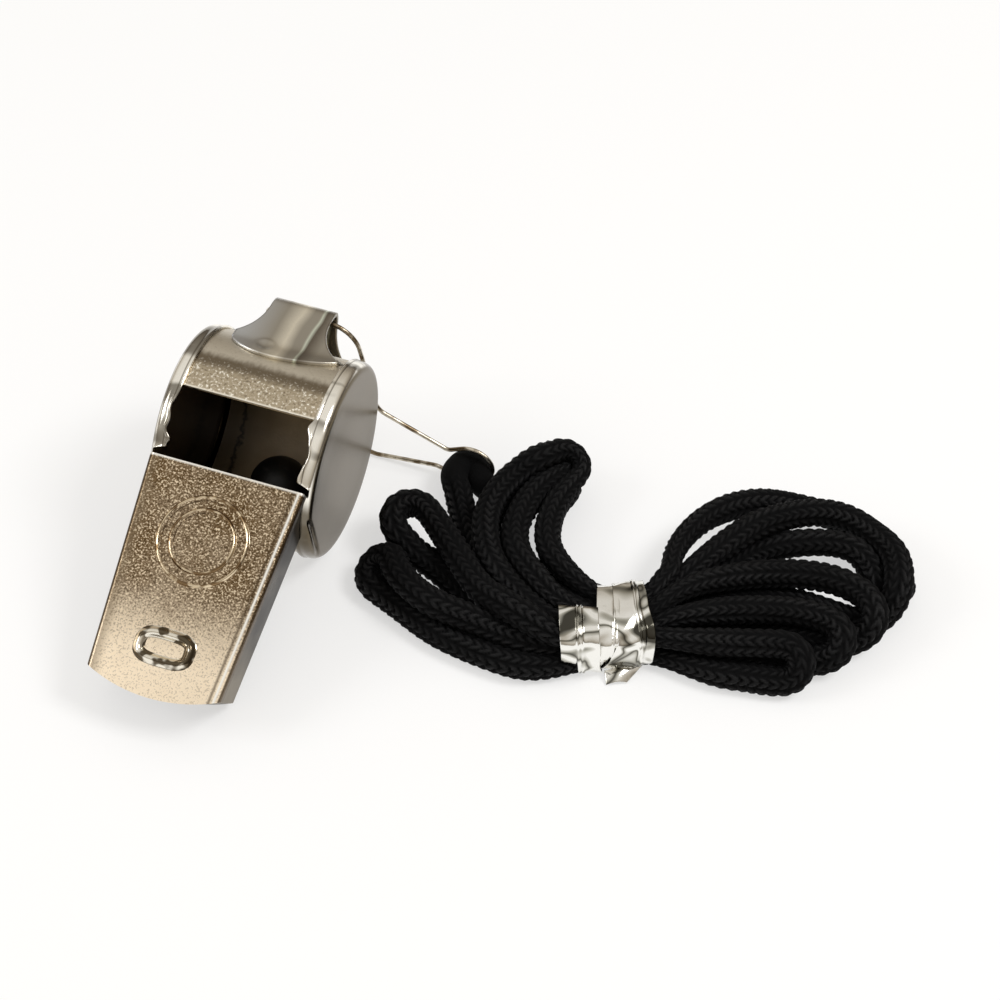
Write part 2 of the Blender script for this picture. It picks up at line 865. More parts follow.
@dataclass(frozen=True)
class PressedCap(Finish):
    """Plated end cap: a satin grey-brown face, and a mirror-bright rim with dark patches.

    The rim is darker in front of the axis, and has a dark line beside its rolled edge.
    """

    axis: BarrelAxis
    face_from: Pair = (9.6 * MM, 9.88 * MM)
    inner_face: Pair = (9.58 * MM, 9.68 * MM)
    inner_radius: Pair = (11.66 * MM, 11.72 * MM)
    shaded_below: Pair = (-11 * MM, 2 * MM)
    shaded_before: Pair = (-9.2 * MM, -7.4 * MM)
    rim_line: Pair = (8.5 * MM, 0.13 * MM)
    cloud: float = 7 * MM
    fine_grain: float = 0.12 * MM
    band: float = 4.2 * MM
    relief: float = 0.05 * MM
    rim_roughness: float = 0.12
    face_roughening: float = 0.12
    fine_roughening: float = 0.05
    cloud_share: float = 0.5
    patches: Pair = (0.48, 0.6)
    patch_share: float = 0.8
    rim_line_share: float = 0.75
    front_share: float = 0.9
    satin: Colour = srgb(108, 97, 78)
    shade: Colour = srgb(86, 76, 58)
    bright: Colour = srgb(252, 248, 238)
    patch: Colour = srgb(98, 90, 76)
    inside: Colour = srgb(66, 52, 36)

    def draw(self, graph: Graph) -> None:
        """Draws the face, the rim and the inside, and divides them at the shoulder.

        Args:
            graph: Empty graph of the finish.
        """
        where = graph.place()
        side = abs(self.axis.sideways(graph))
        clouds = graph.noise(where, self.cloud, 2.0)
        fine = graph.noise(where, self.fine_grain, 2.0)
        low = 1 - self.axis.above(graph).rise(*self.shaded_below)
        shade = low * (1 - self.cloud_share) + clouds * self.cloud_share
        face = graph.mix(shade.least(1.0), self.satin, self.shade)
        squeezed = graph.vector("MULTIPLY", where, (0.3, 1.0, 1.0))
        bands = graph.noise(squeezed, self.band, 2.0, 0.3)
        rim = graph.mix(bands.rise(*self.patches) * self.patch_share, self.bright, self.patch)
        rim = graph.mix(side.bump_at(*self.rim_line) * self.rim_line_share, rim, self.patch)
        front = 1 - self.axis.rearward(graph).rise(*self.shaded_before)
        rim = graph.mix(front * self.front_share, rim, self.shade)
        on_face = side.rise(*self.face_from)
        within = 1 - self.axis.radius(graph).rise(*self.inner_radius)
        within = within.least(1 - side.rise(*self.inner_face))
        shown = graph.mix(within, graph.mix(on_face, rim, face), self.inside)
        roughness = on_face.spread(self.rim_roughness, self.face_roughening)
        roughness = roughness + fine * self.fine_roughening
        graph.metal(shown, roughness, graph.bump(bands, self.relief, 0.3))


@dataclass(frozen=True)
class MirrorBorder(Finish):
    """Smooth bright nickel of the pressed borders, with dark patches like a bent mirror's."""

    bright: Colour = srgb(240, 234, 220)
    dark: Colour = srgb(96, 86, 70)
    patch: float = 1.4 * MM
    grain: float = 0.1 * MM
    relief: float = 0.004 * MM
    roughness: Pair = (0.1, 0.08)
    patches: Pair = (0.46, 0.56)

    def draw(self, graph: Graph) -> None:
        """Draws soft dark patches in the bright metal.

        Args:
            graph: Empty graph of the finish.
        """
        where = graph.place()
        patches = graph.noise(where, self.patch, 1.0)
        fine = graph.noise(where, self.grain, 1.0)
        shown = graph.mix(patches.rise(*self.patches), self.bright, self.dark)
        graph.metal(shown, fine.spread(*self.roughness), graph.bump(fine, self.relief, 0.5))


@dataclass(frozen=True)
class DrawnWire(Finish):
    """Thin spring wire: bright steel with brown reflections and drawing marks."""

    bright: Colour = srgb(214, 206, 190)
    brown: Colour = srgb(120, 104, 82)
    patch: float = 1.6 * MM
    mark: float = 0.08 * MM
    relief: float = 0.006 * MM
    roughness: Pair = (0.2, 0.15)
    patches: Pair = (0.38, 0.6)

    def draw(self, graph: Graph) -> None:
        """Draws short bright and brown stretches along the wire.

        Args:
            graph: Empty graph of the finish.
        """
        where = graph.place()
        patches = graph.noise(where, self.patch, 2.0)
        marks = graph.noise(where, self.mark, 2.0)
        shown = graph.mix(patches.rise(*self.patches), self.bright, self.brown)
        graph.metal(shown, marks.spread(*self.roughness), graph.bump(marks, self.relief, 0.5))


@dataclass(frozen=True)
class PeaPlastic(Finish):
    """Black moulded ball with a faint scuffed skin."""

    black: Colour = srgb(16, 15, 15)
    scuff: Colour = srgb(44, 42, 40)
    grain: float = 0.8 * MM
    relief: float = 0.03 * MM
    roughness: Pair = (0.42, 0.2)
    scuffs: Pair = (0.55, 0.75)

    def draw(self, graph: Graph) -> None:
        """Draws small scuffs in the black.

        Args:
            graph: Empty graph of the finish.
        """
        where = graph.place()
        scuffs = graph.noise(where, self.grain, 4.0)
        shown = graph.mix(scuffs.rise(*self.scuffs), self.black, self.scuff)
        relief = graph.bump(scuffs, self.relief, 0.5)
        graph.surface(shown, scuffs.spread(*self.roughness), relief)


@dataclass(frozen=True)
class BlackYarn(Finish):
    """Black yarn of the knitted cord: fine fibres, and a soft shine on the stitches' backs."""

    height_name: str = "stitch_height"
    deep: Colour = srgb(2, 2, 3)
    worn: Colour = srgb(36, 36, 39)
    fibre: float = 0.1 * MM
    tuft: float = 1.3 * MM
    relief: float = 0.06 * MM
    fibres: Pair = (0.46, 0.72)
    lit_backs: Pair = (0.5, 1.0)
    tufts: Pair = (0.3, 0.9)
    matt: float = 0.95
    smooth_backs: Pair = (0.45, 1.0)
    smoothing: float = 0.5
    fibre_roughening: float = 0.3
    specular: float = 0.2

    def draw(self, graph: Graph) -> None:
        """Draws fine fibres that catch the light on the stitches' backs.

        Args:
            graph: Empty graph of the finish.
        """
        where = graph.place()
        stitch = graph.value(
            "ShaderNodeAttribute", {"attribute_name": self.height_name}, {}, "Fac"
        )
        fibres = graph.noise(where, self.fibre, 3.0, 1.4)
        tufts = graph.noise(where, self.tuft, 2.0)
        catch = fibres.rise(*self.fibres) * stitch.rise(*self.lit_backs)
        catch = catch * tufts.spread(*self.tufts)
        shown = graph.mix(catch.least(1.0), self.deep, self.worn)
        roughness = self.matt - stitch.rise(*self.smooth_backs) * self.smoothing
        roughness = roughness + (fibres - 0.5) * self.fibre_roughening
        relief = graph.bump(fibres, self.relief, 0.9)
        graph.surface(shown, roughness, relief, Specular_IOR_Level=self.specular)


@dataclass(frozen=True)
class TieFoil(Finish):
    """Bright metallised strip with soft creases."""

    silver: Colour = srgb(246, 245, 240)
    smoke: Colour = srgb(184, 182, 172)
    dark: Colour = srgb(72, 70, 63)
    crease: float = 2.0 * MM
    band: float = 5.4 * MM
    relief: float = 0.1 * MM
    roughness: Pair = (0.08, 0.1)

    def draw(self, graph: Graph) -> None:
        """Draws smoky bands and creases in the silver.

        Args:
            graph: Empty graph of the finish.
        """
        where = graph.place()
        creases = graph.noise(where, self.crease, 2.0, 0.8)
        squeezed = graph.vector("MULTIPLY", where, (1.0, 1.0, 1.6))
        smoky = graph.noise(squeezed, self.band, 1.0, 0.6)
        shades = graph.ramp(smoky, (
            (0.35, self.dark), (0.41, self.smoke), (0.45, self.silver), (0.52, self.silver),
            (0.55, self.smoke), (0.58, self.dark), (0.61, self.smoke), (0.65, self.silver),
        ))
        relief = graph.bump(creases, self.relief, 0.3)
        graph.metal(shades, creases.spread(*self.roughness), relief)


@dataclass(frozen=True)
class PaleFloor(Finish):
    """Plain pale studio floor that reads as white and keeps a soft shadow."""

    pale: Colour = srgb(250, 250, 250)
    fleck: Colour = srgb(236, 236, 236)
    grain: float = 9 * MM
    fleck_share: float = 0.04
    roughness: float = 0.7
    specular: float = 0.2
    glow_share: float = 0.55

    def draw(self, graph: Graph) -> None:
        """Mixes a pale matt floor with the white of the background.

        Args:
            graph: Empty graph of the finish.
        """
        path = graph.node("ShaderNodeLightPath")
        seen = Value(graph, path.outputs["Is Camera Ray"])
        for name in ("Is Glossy Ray", "Is Transmission Ray"):
            seen = seen.most(Value(graph, path.outputs[name]))
        grain = graph.noise(graph.place(), self.grain, 3.0)
        matt = graph.value("ShaderNodeBsdfPrincipled", {}, {
            "Base Color": graph.mix(grain * self.fleck_share, self.pale, self.fleck),
            "Roughness": self.roughness,
            "Specular IOR Level": self.specular,
        })
        glow = graph.value("ShaderNodeEmission", {}, {"Color": WHITE, "Strength": 1.0})
        graph.finish("ShaderNodeMixShader", {0: seen * self.glow_share, 1: matt, 2: glow})


class Layer(Enum):
    """Layer of strands in the tie, with its strands' heights from the rear to the front."""

    BOTTOM = (1.5, 2.1, 1.5, 2.1, 1.5)
    TOP = (4.9, 4.2, 4.9, 4.2, 4.9)


@dataclass
class Hank:
    """The tied hank on the floor: u along it, v across it and z up, all in millimetres.

    The tie crosses it at u = 0, where its strands lie side by side in two layers, at waist_across.
    """

    centre: Pair = (47.3, 4.3)
    turn: float = math.radians(15)
    waist_across: tuple[float, ...] = (3.9, 2.35, 0.8, -0.75, -2.3)
    waist_half: float = 2.6
    skew: float = 0.22
    skew_from: float = -2.0
    skew_length: float = 8.0

    def to_frame(self, points: Array) -> Array:
        """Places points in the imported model's frame.

        Args:
            points: Points as u, v and z in millimetres, one per row.

        Returns:
            The points in metres.
        """
        x, y = turned(points[..., 0], points[..., 1], self.turn)
        return np.stack([self.centre[0] + x, self.centre[1] + y, points[..., 2]], -1) * MM

    def shear(self, along: Array) -> Array:
        """Moves the strands of the waist rearwards towards the right, where the tie is askew."""
        return self.skew * np.clip(along - self.skew_from, 0, self.skew_length)

    def waist_pass(self, layer: Layer, place: int, towards: Side) -> tuple[Point, Point]:
        """Two points of a strand that passes through the tie.

        Args:
            layer: Layer of the strand.
            place: Place across the waist, from 0 at the rear to 4 at the front.
            towards: Side that it comes out on.

        Returns:
            The points where it goes in and comes out.
        """
        across, height = self.waist_across[place], layer.value[place]
        reach = towards.value * self.waist_half
        into, out = across + float(self.shear(-reach)), across + float(self.shear(reach))
        return (-reach, into, height), (reach, out, height)

    def route(self) -> list[Point]:
        """Lists the points that the cord follows, chosen by hand along the photographed strands.

        Returns:
            Points from the clip's eye through ten runs of the hank and back to the eye.
        """
        down, up = Layer.BOTTOM, Layer.TOP
        left, right = Side.LEFT, Side.RIGHT
        return [
            (-18.6, 25.3, 2.7), (-19.3, 26, 2.95), (-20.2, 26, 3), (-20.9, 25.1, 2.95),
            (-21, 23.4, 2.7), (-20.7, 20.6, 2.3),
            (-20.1, 18, 2), (-19.4, 15.2, 1.9), (-18.3, 11.6, 1.8), (-16.2, 7.4, 1.8),
            (-13.1, 3.4, 1.8), (-6.5, 2.6, 1.9),
            *self.waist_pass(down, 1, right),
            (8, 5.6, 1.8), (14, 8, 1.8), (20, 8.2, 1.8), (25, 6.6, 1.8),
            (29.2, 4.6, 2.2), (31.9, 6.9, 3.4), (32.7, 9.3, 4.7), (32.3, 13, 5),
            (30.4, 16.2, 5), (28.6, 18.9, 5.1), (25.4, 20.1, 5.2), (21.1, 19.2, 5.6),
            (17.1, 17.5, 5.3), (13, 14.6, 5.2), (8.7, 10.4, 5.1), (4.8, 5.7, 5),
            *self.waist_pass(up, 1, left),
            (-6.5, 3.6, 3.6), (-12.4, 8.1, 2.2), (-14.7, 13, 1.8), (-13.7, 20.1, 1.8),
            (-10.8, 25.5, 2), (-8.1, 27.7, 2.9), (-8.7, 25.3, 4.3), (-12.7, 17.6, 5.2),
            (-14.2, 11.7, 5.2), (-13.2, 7.1, 5.1), (-8.9, 2.9, 5),
            *self.waist_pass(up, 2, right),
            (5.6, 6.2, 5), (11.4, 8.2, 5), (16.4, 9.5, 5), (24, 9.6, 5),
            (27.7, 8.1, 4.9), (29.8, 6.1, 4.6), (30.1, 4.2, 3.7), (28.8, 3, 2.4),
            (24, 1.2, 1.8), (16.5, 3.6, 1.8), (9, 1.8, 1.8),
            *self.waist_pass(down, 2, left),
            (-7.5, -0.1, 1.8), (-13.6, 1.6, 1.8), (-18.7, 5.3, 1.8), (-23, 9.6, 2.2),
            (-27.2, 11, 3.5), (-28.4, 12.4, 4.9), (-28.4, 14.9, 5.2), (-26.5, 17.1, 5.2),
            (-23.9, 14.9, 5.2), (-19.8, 8, 5.2), (-14.9, 2, 5.1), (-8.5, -2.2, 5),
            *self.waist_pass(up, 4, right),
            (4.9, -1.4, 4.9), (10.2, -1.6, 4.9), (15.5, -1.2, 4.7), (19.4, -1, 4.2),
            (21.1, -1.8, 3.2), (20.5, -3.2, 2.2), (18.1, -4.1, 1.8), (15, -3.7, 1.8),
            (9.3, -2.1, 1.8),
            *self.waist_pass(down, 4, left),
            (-7.3, -2.3, 1.8), (-11.8, -2.4, 1.8), (-18.1, -2, 1.8), (-21.6, -0.9, 1.8),
            (-26.7, 3.4, 1.8), (-30.4, 6.4, 1.8), (-30.7, 9.2, 2), (-29, 9.8, 3.2),
            (-27.7, 6.5, 4.6), (-25.8, 3.5, 4.9), (-23.1, 1.2, 4.8), (-19.7, 0, 4.3),
            (-15.3, -0.7, 3.3), (-8, -2.9, 2.2),
            *self.waist_pass(down, 3, right),
            (8, -0.9, 1.8), (14.5, -0.6, 1.8), (20, -1.6, 1.8), (24, -0.4, 2.4),
            (25.8, 0, 3.6), (26, 1, 4.5), (24.5, 2.6, 4.9), (21.6, 3.8, 5),
            (15.7, 3.7, 5), (9.1, 2.8, 5), (5.2, 1.9, 5),
            *self.waist_pass(up, 3, left),
            (-9.4, -1, 5), (-12.8, 2.9, 5.2), (-15.6, 7.2, 5.2), (-17.5, 12.9, 5.3),
            (-16.9, 17.8, 5.3), (-14.8, 21.7, 5.3), (-10.9, 25, 5.3), (-7.3, 26.7, 5.3),
            (-5.4, 25.6, 5.3), (-6.5, 22.6, 5.2), (-8.6, 19.2, 5.2), (-9.9, 14.6, 5.1),
            (-10, 11, 5), (-7.4, 7.5, 5),
            *self.waist_pass(up, 0, right),
            (3.3, 8.5, 5), (6.3, 14, 5), (9.6, 18.1, 4.9), (13.3, 20.6, 4.7),
            (17.2, 22.4, 3.9), (21.5, 23.1, 2.4), (26, 22.6, 1.8), (29.5, 19.6, 1.8),
            (31.9, 15.7, 1.8), (33.3, 12, 1.8), (32.7, 9.4, 1.8), (31.1, 10.6, 2.4),
            (31.3, 12.5, 3.6), (29.3, 14.2, 4.6), (25.2, 15.5, 4.7), (20.5, 15.4, 4.2),
            (16.1, 15.4, 2.9), (11, 10.4, 1.8), (6.5, 7.2, 1.8),
            *self.waist_pass(down, 0, left),
            (-6.4, 6.6, 1.8), (-8.9, 11, 1.8), (-9.6, 15.8, 1.8), (-8.5, 21.5, 1.8),
            (-6, 25, 1.8), (-7.2, 26, 1.8), (-9.4, 25.8, 1.8), (-12.2, 24, 1.8),
            (-15, 22.3, 1.8), (-16.9, 22.3, 1.8), (-18.2, 24, 2.1), (-18.9, 25.6, 2.7),
            (-19.7, 26.1, 3), (-20.5, 25.8, 3),
        ]


@dataclass
class Cord:
    """The knitted cord: it settles strand against strand, then gets its stitches.

    Lengths are in millimetres until the mesh is made. In the tie the strands' middle lines stay
    within tie_across and tie_height, with up to tie_slack more room outside tie_flat_half. A least
    chord is a number of steps along the cord, and how far apart their two ends have to stay. The
    stitches leave the two ends plain and fade in beside them.
    """

    hank: Hank
    length: float = 705.0
    radius: float = 1.72
    squeezed_radius: float = 1.15
    free_distance: float = 3.35
    squeezed_distance: float = 1.8
    squeeze_half: float = 3.2
    squeeze_fade: float = 9.5
    tie_half: float = 5.0
    tie_flat_half: float = 2.6
    tie_across: Pair = (-2.4, 4.0)
    tie_height: Pair = (1.2, 5.2)
    tie_slack: float = 2.4
    over_foil: float = 0.3
    floor_gap: float = 0.03
    lowest_skin: float = 0.02
    spacing: float = 1.0
    route_pieces: int = 12
    settling_steps: int = 600
    pairs_every: int = 8
    pair_margin: float = 0.6
    neighbours: int = 7
    least_chords: Sequence[tuple[int, float]] = ((3, 2.75), (4, 3.4), (5, 3.8))
    opening: float = 0.3
    push: float = 0.7
    crowding: float = 0.6
    homing: float = 0.03
    smoothing: float = 0.45
    stitch_pitch: float = 1.18
    stitch_columns: int = 6
    stitch_height: float = 0.72
    stitch_slant: float = 0.98
    stitch_skin: float = 0.78
    column_wander: float = 0.12
    wander_lengths: Pair = (11.0, 3.7)
    unevenness: float = 0.1
    uneven_lengths: Pair = (2.3, 0.9)
    uneven_twist: float = 9.0
    uneven_share: float = 0.6
    plump_change: float = 0.12
    plump_numbers: Pair = (7.0, 12.9)
    groove_rise: float = 0.2
    plain_end: float = 4.5
    plain_fade: float = 4.0
    plain_height: float = 0.45
    end_rounding: float = 0.5
    end_share: float = 0.2
    ring_pieces: int = 8
    ring_step: float = 0.17
    ring_sides: int = 48
    finish: BlackYarn = field(default_factory=lambda: BlackYarn("black_yarn"))
    path: Array = field(init=False)

    def squeeze_fades(self, points: Array, squeezed: float, free: float) -> Array:
        """Goes from a squeezed value inside the tie to a free one outside it.

        Args:
            points: Points of the cord.
            squeezed: Value in the tie.
            free: Value away from it.

        Returns:
            A value for each point.
        """
        fade_end = self.squeeze_half + self.squeeze_fade
        share = smoothstep(np.abs(points[:, 0]), self.squeeze_half, fade_end)
        return squeezed + (free - squeezed) * share

    def near_pairs(self, points: Array) -> tuple[Array, Array]:
        """Finds pairs of points that are close, but not neighbours along the cord.

        Args:
            points: Points of the cord.

        Returns:
            The pairs' first and second point numbers.
        """
        gaps = np.linalg.norm(points[:, None] - points[None], axis=2)
        near = gaps < self.free_distance + self.pair_margin
        first, second = np.nonzero(np.triu(near, self.neighbours))
        apart = second - first < len(points) - self.neighbours
        return first[apart], second[apart]

    def pushed_apart(self, points: Array, pairs: tuple[Array, Array]) -> Array:
        """Moves strands that lie in each other apart.

        Args:
            points: Points of the cord.
            pairs: Pairs that may touch.

        Returns:
            The moved points.
        """
        first, second = pairs
        wanted = self.squeeze_fades(points, self.squeezed_distance, self.free_distance)
        apart = points[first] - points[second]
        gap = np.linalg.norm(apart, axis=1) + TINY
        overlap = np.clip(np.minimum(wanted[first], wanted[second]) - gap, 0, None)
        push = apart / gap[:, None] * (overlap / 2)[:, None]
        moved = np.zeros_like(points)
        count = np.zeros(len(points))
        for ends, sign in ((first, 1.0), (second, -1.0)):
            np.add.at(moved, ends, sign * push)
            np.add.at(count, ends, overlap > 0)
        return points + self.push * moved / np.maximum(count, 1)[:, None] ** self.crowding

    def unfolded(self, points: Array) -> Array:
        """Opens bends that are tighter than the cord can make.

        Args:
            points: Points of the cord.

        Returns:
            The moved points.
        """
        moved = points.copy()
        for reach, chord in self.least_chords:
            across = points[reach:] - points[:-reach]
            length = np.linalg.norm(across, axis=1)[:, None] + TINY
            push = across / length * np.clip(chord - length, 0, None) * self.opening
            moved[reach:] += push
            moved[:-reach] -= push
        return moved

    def held(self, points: Array) -> None:
        """Keeps the points over the floor, and those in the tie within it.

        Args:
            points: Points of the cord, moved in place.
        """
        lowest = self.squeeze_fades(points, self.squeezed_radius + self.over_foil, self.radius)
        points[:, 2] = np.maximum(points[:, 2], lowest + self.floor_gap)
        tied = np.abs(points[:, 0]) < self.tie_half
        shear = self.hank.shear(points[tied, 0])
        from_middle = np.abs(points[tied, 0])
        slack = self.tie_slack * smoothstep(from_middle, self.tie_flat_half, self.tie_half)
        (front, rear), (low, high) = self.tie_across, self.tie_height
        points[tied, 1] = np.clip(points[tied, 1], front + shear - slack, rear + shear + slack)
        points[tied, 2] = np.clip(points[tied, 2], low, high + slack)

    def settled(self) -> Array:
        """Lets the cord settle round its hand-laid route.

        Returns:
            Points of the settled middle line, about a millimetre apart.
        """
        laid = spline(np.array(self.hank.route(), float), self.route_pieces)
        wanted = resample(laid, self.spacing)
        points = wanted.copy()
        for step in range(self.settling_steps):
            if step % self.pairs_every == 0:
                pairs = self.near_pairs(points)
            points = self.pushed_apart(points, pairs)
            points += (wanted - points) * self.homing
            smooth = points.copy()
            smooth[1:-1] = averaged(points)
            points[3:-3] += self.smoothing * (smooth - points)[3:-3]
            points = self.unfolded(points)
            self.held(points)
            # The two ends stay where they were laid, at the clip's eye.
            points[:3], points[-4:] = wanted[:3], wanted[-4:]
        return points

    def stitches(self, along: Array, around: Array) -> Array:
        """Height of the knitted stitches over the cord's skin.

        Each column of stitches is a row of V's: its two arms slant away from the column's middle.

        Args:
            along: Distance along the cord, one per ring.
            around: Angle round the cord in turns, one per side.

        Returns:
            Heights from 0 in the grooves to 1 on the stitches' backs, ring by ring.
        """
        along, around = along[:, None], around[None, :]
        long, short = self.wander_lengths
        wander = self.column_wander * (np.sin(along / long) + np.sin(along / short) / 2)
        place = around * self.stitch_columns + wander
        arm = np.abs(2 * (place % 1.0) - 1)
        long, short = self.uneven_lengths
        uneven = np.sin(along / long + self.uneven_twist * around)
        uneven = uneven + self.uneven_share * np.sin(along / short)
        phase = along / self.stitch_pitch - self.stitch_slant * arm + self.unevenness * uneven
        # Each stitch has its own number, so that its neighbours are not as plump as it is.
        per_column, per_stitch = self.plump_numbers
        number = np.floor(phase) + per_column * np.floor(place)
        plump = 1 - self.plump_change + self.plump_change * np.sin(number * per_stitch)
        across = np.sin(math.pi * (self.groove_rise + (1 - self.groove_rise) * arm))
        lengthwise = 1 - (2 * (phase % 1.0) - 1) ** 2
        return plump * np.sqrt(np.clip(across, 0, 1) * np.clip(lengthwise, 0, 1))

    def skin(self, middle: Array, relief: Array, ends: Array) -> Array:
        """Lays the cord's skin round its middle line.

        Args:
            middle: Points of the middle line, one per ring.
            relief: Height of the stitches over the cord's radius, ring by ring.
            ends: Share of the radius that each ring has, below 1 at the two rounded ends.

        Returns:
            A grid of points, ring by ring.
        """
        radius = self.squeeze_fades(middle, self.squeezed_radius, self.radius)[:, None]
        reach = radius * (1 + relief / self.radius) * ends[:, None]
        angle = np.linspace(0, 2 * math.pi, self.ring_sides, endpoint=False)[None, :, None]
        _, side, up = carried_frames(middle)
        outward = np.cos(angle) * side[:, None] + np.sin(angle) * up[:, None]
        return middle[:, None] + reach[:, :, None] * outward

    def build(self) -> bpy.types.Object:
        """Makes the cord's mesh from its settled line and its stitches.

        Returns:
            The cord's object.
        """
        route = self.settled()
        self.path = self.hank.to_frame(route)
        middle = resample(spline(route, self.ring_pieces), self.ring_step)
        along = np.r_[0, np.cumsum(np.linalg.norm(np.diff(middle, axis=0), axis=1))]
        from_end = np.minimum(along, along[-1] - along)
        knitted = smoothstep(from_end, self.plain_end, self.plain_end + self.plain_fade)[:, None]
        stitch = self.stitches(along, np.arange(self.ring_sides) / self.ring_sides)
        relief = self.stitch_height * knitted * (stitch - self.stitch_skin)
        bow = 1 - np.clip(from_end / self.end_rounding, 0, 1)
        ends = np.sqrt(np.clip(1 - bow**2, self.end_share, 1))
        vertices = self.hank.to_frame(self.skin(middle, relief, ends)).reshape(-1, 3)
        vertices[:, 2] = np.maximum(vertices[:, 2], self.lowest_skin * MM)
        last = (len(middle) - 1) * self.ring_sides
        faces = list(grid_faces(len(middle), self.ring_sides, True))
        faces += [range(self.ring_sides)[::-1], range(last, last + self.ring_sides)]
        cord = mesh_piece("knitted_cord", vertices, faces, "lanyard")
        shown = stitch * knitted + self.plain_height * (1 - knitted)
        heights = cord.data.attributes.new(self.finish.height_name, "FLOAT", "POINT")
        heights.data.foreach_set("value", shown.astype(np.float32).ravel())
        self.finish.dress(cord)
        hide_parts("cord_hank", "cord_bight")
        LOG.info("knitted_cord: %.0f mm long, %d rings", along[-1], len(middle))
        return cord

    def declare(self) -> None:
        2 * self.radius * MM


@dataclass
class FoilTie:
    """Foil strip over a wire, wound twice round the hank, with a loose end on the left.

    A winding is a row of stations: the angle round the hank in degrees, the places of the strip's
    left and right edge along the hank, and how far it lies off the strands. 90 degrees is the top,
    180 the front and 270 the underside. Lengths are in millimetres. A wave gives the degrees round
    the hank for each radian, and its radians across the strip.
    """

    hank: Hank
    middle_across: float = 0.85
    middle_height: float = 3.6
    half_across: float = 4.6
    half_height: float = 3.5
    flatness: float = 0.72
    thickness: float = 0.09
    floor_gap: float = 0.03
    ridges_apart: float = 0.05
    ridge_width: float = 0.035
    ridge_height: float = 0.22
    ridge_middle: float = 0.5
    outer_ridge_middle: float = 0.68
    bend: float = 0.09
    bend_wave: Pair = (9.0, 7.0)
    pleat: float = 0.02
    pleat_wave: Pair = (4.1, 4.0)
    curve_pieces: int = 24
    columns: int = 41
    inner_winding: Stations = (
        (300, -3.6, 0.8, 0.05), (240, -3.5, 0.9, 0.05), (180, -3.6, 0.9, 0.05),
        (120, -3.8, 0.8, 0.05), (60, -3.8, 0.7, 0.05), (0, -3.6, 1.0, 0.05),
        (-50, -3.2, 1.4, 0.05),
    )
    outer_winding: Stations = (
        (310, -2.2, 2.6, 0.2), (250, -3.1, 2.9, 0.25), (200, -2.4, 3.2, 0.3),
        (165, -1.4, 3.2, 0.3), (125, -1.4, 2.9, 0.3), (85, -1.9, 2.0, 0.3),
        (40, -2.0, 1.6, 0.3), (-10, -1.8, 2.4, 0.25), (-45, -1.4, 3.0, 0.2),
    )
    loose_end: Stations = (
        (236, -7.1, -2.5, 0.9), (222, -7.1, -2.5, 0.8), (200, -7.4, -2.8, 0.6),
        (170, -7.7, -3.1, 0.6), (135, -8.0, -3.4, 0.6), (94, -8.3, -3.7, 0.6),
    )
    twist_root: tuple[Point, Point] = ((-2.3, -3.7, 0.9), (2.2, -2.4, 0.8))
    twist_tip: tuple[Point, Point] = ((-2.0, -5.2, 0.25), (0.4, -4.7, 0.2))
    twist_bulge: float = 0.5
    finish: TieFoil = field(default_factory=lambda: TieFoil("tie_foil"))

    def girth(self, angle: Array, lift: Array) -> tuple[Array, Array]:
        """Rounded outline of the tied strands.

        Args:
            angle: Angles in radians.
            lift: Distance that the strip lies off the outline.

        Returns:
            Places across and up.
        """
        across, height = squared_circle(angle, self.flatness)
        v = self.middle_across + (self.half_across + lift) * across
        z = self.middle_height + (self.half_height + lift) * height
        return v, z

    def strip(self, stations: Stations, ridge: float, rows: int = 120) -> tuple[Array, Array]:
        """Lays one stretch of the strip.

        Args:
            stations: Stations of the stretch, from end to end.
            ridge: Place of the wire's ridge across the strip, from 0 to 1.
            rows: Number of rows along the stretch.

        Returns:
            The outer and the inner surface, as grids of points.
        """
        smooth = spline(np.array(stations, float), self.curve_pieces)
        fine = np.linspace(0, len(smooth) - 1, rows)
        degrees, left, right, lift = (
            np.interp(fine, np.arange(len(smooth)), smooth[:, i]) for i in range(4)
        )
        t = np.linspace(0, 1, self.columns)[None, :]
        angle = np.radians(degrees)[:, None] + 0 * t
        wires = ripple(t, ridge - self.ridges_apart, self.ridge_width)
        wires = wires + ripple(t, ridge + self.ridges_apart, self.ridge_width)
        bend_wave, pleat_wave = (
            np.sin(degrees[:, None] / along + across * t)
            for along, across in (self.bend_wave, self.pleat_wave)
        )
        bend, pleat = self.bend * bend_wave * np.sin(math.pi * t), self.pleat * pleat_wave
        off = lift[:, None] + self.ridge_height * wires + bend + pleat
        u = left[:, None] * (1 - t) + right[:, None] * t
        sheets = []
        for extra in (self.thickness, 0.0):
            v, z = self.girth(angle, off + extra)
            v = v + self.hank.shear(u)
            sheets.append(np.stack([u, v, np.maximum(z, self.floor_gap)], -1))
        return sheets[0], sheets[1]

    def twist(self, rows: int = 16) -> tuple[Array, Array]:
        """Lays the strip's twisted end, which lies on the floor in front of the tie.

        Args:
            rows: Number of rows from the tie to the tip.

        Returns:
            The outer and the inner surface, as grids of points.
        """
        across = np.linspace(0, 1, self.columns)[None, :, None]
        out = np.linspace(0, 1, rows)[:, None, None]
        root, tip = (
            np.array(left) * (1 - across) + np.array(right) * across
            for left, right in (self.twist_root, self.twist_tip)
        )
        sheet = root * (1 - out) + tip * out
        bulge = np.sin(math.pi * across) * np.sin(math.pi * (0.25 + 0.5 * out))
        sheet[..., 2] += self.twist_bulge * bulge[..., 0]
        lower = sheet.copy()
        lower[..., 2] = np.maximum(lower[..., 2] - self.thickness, self.floor_gap)
        return sheet, lower

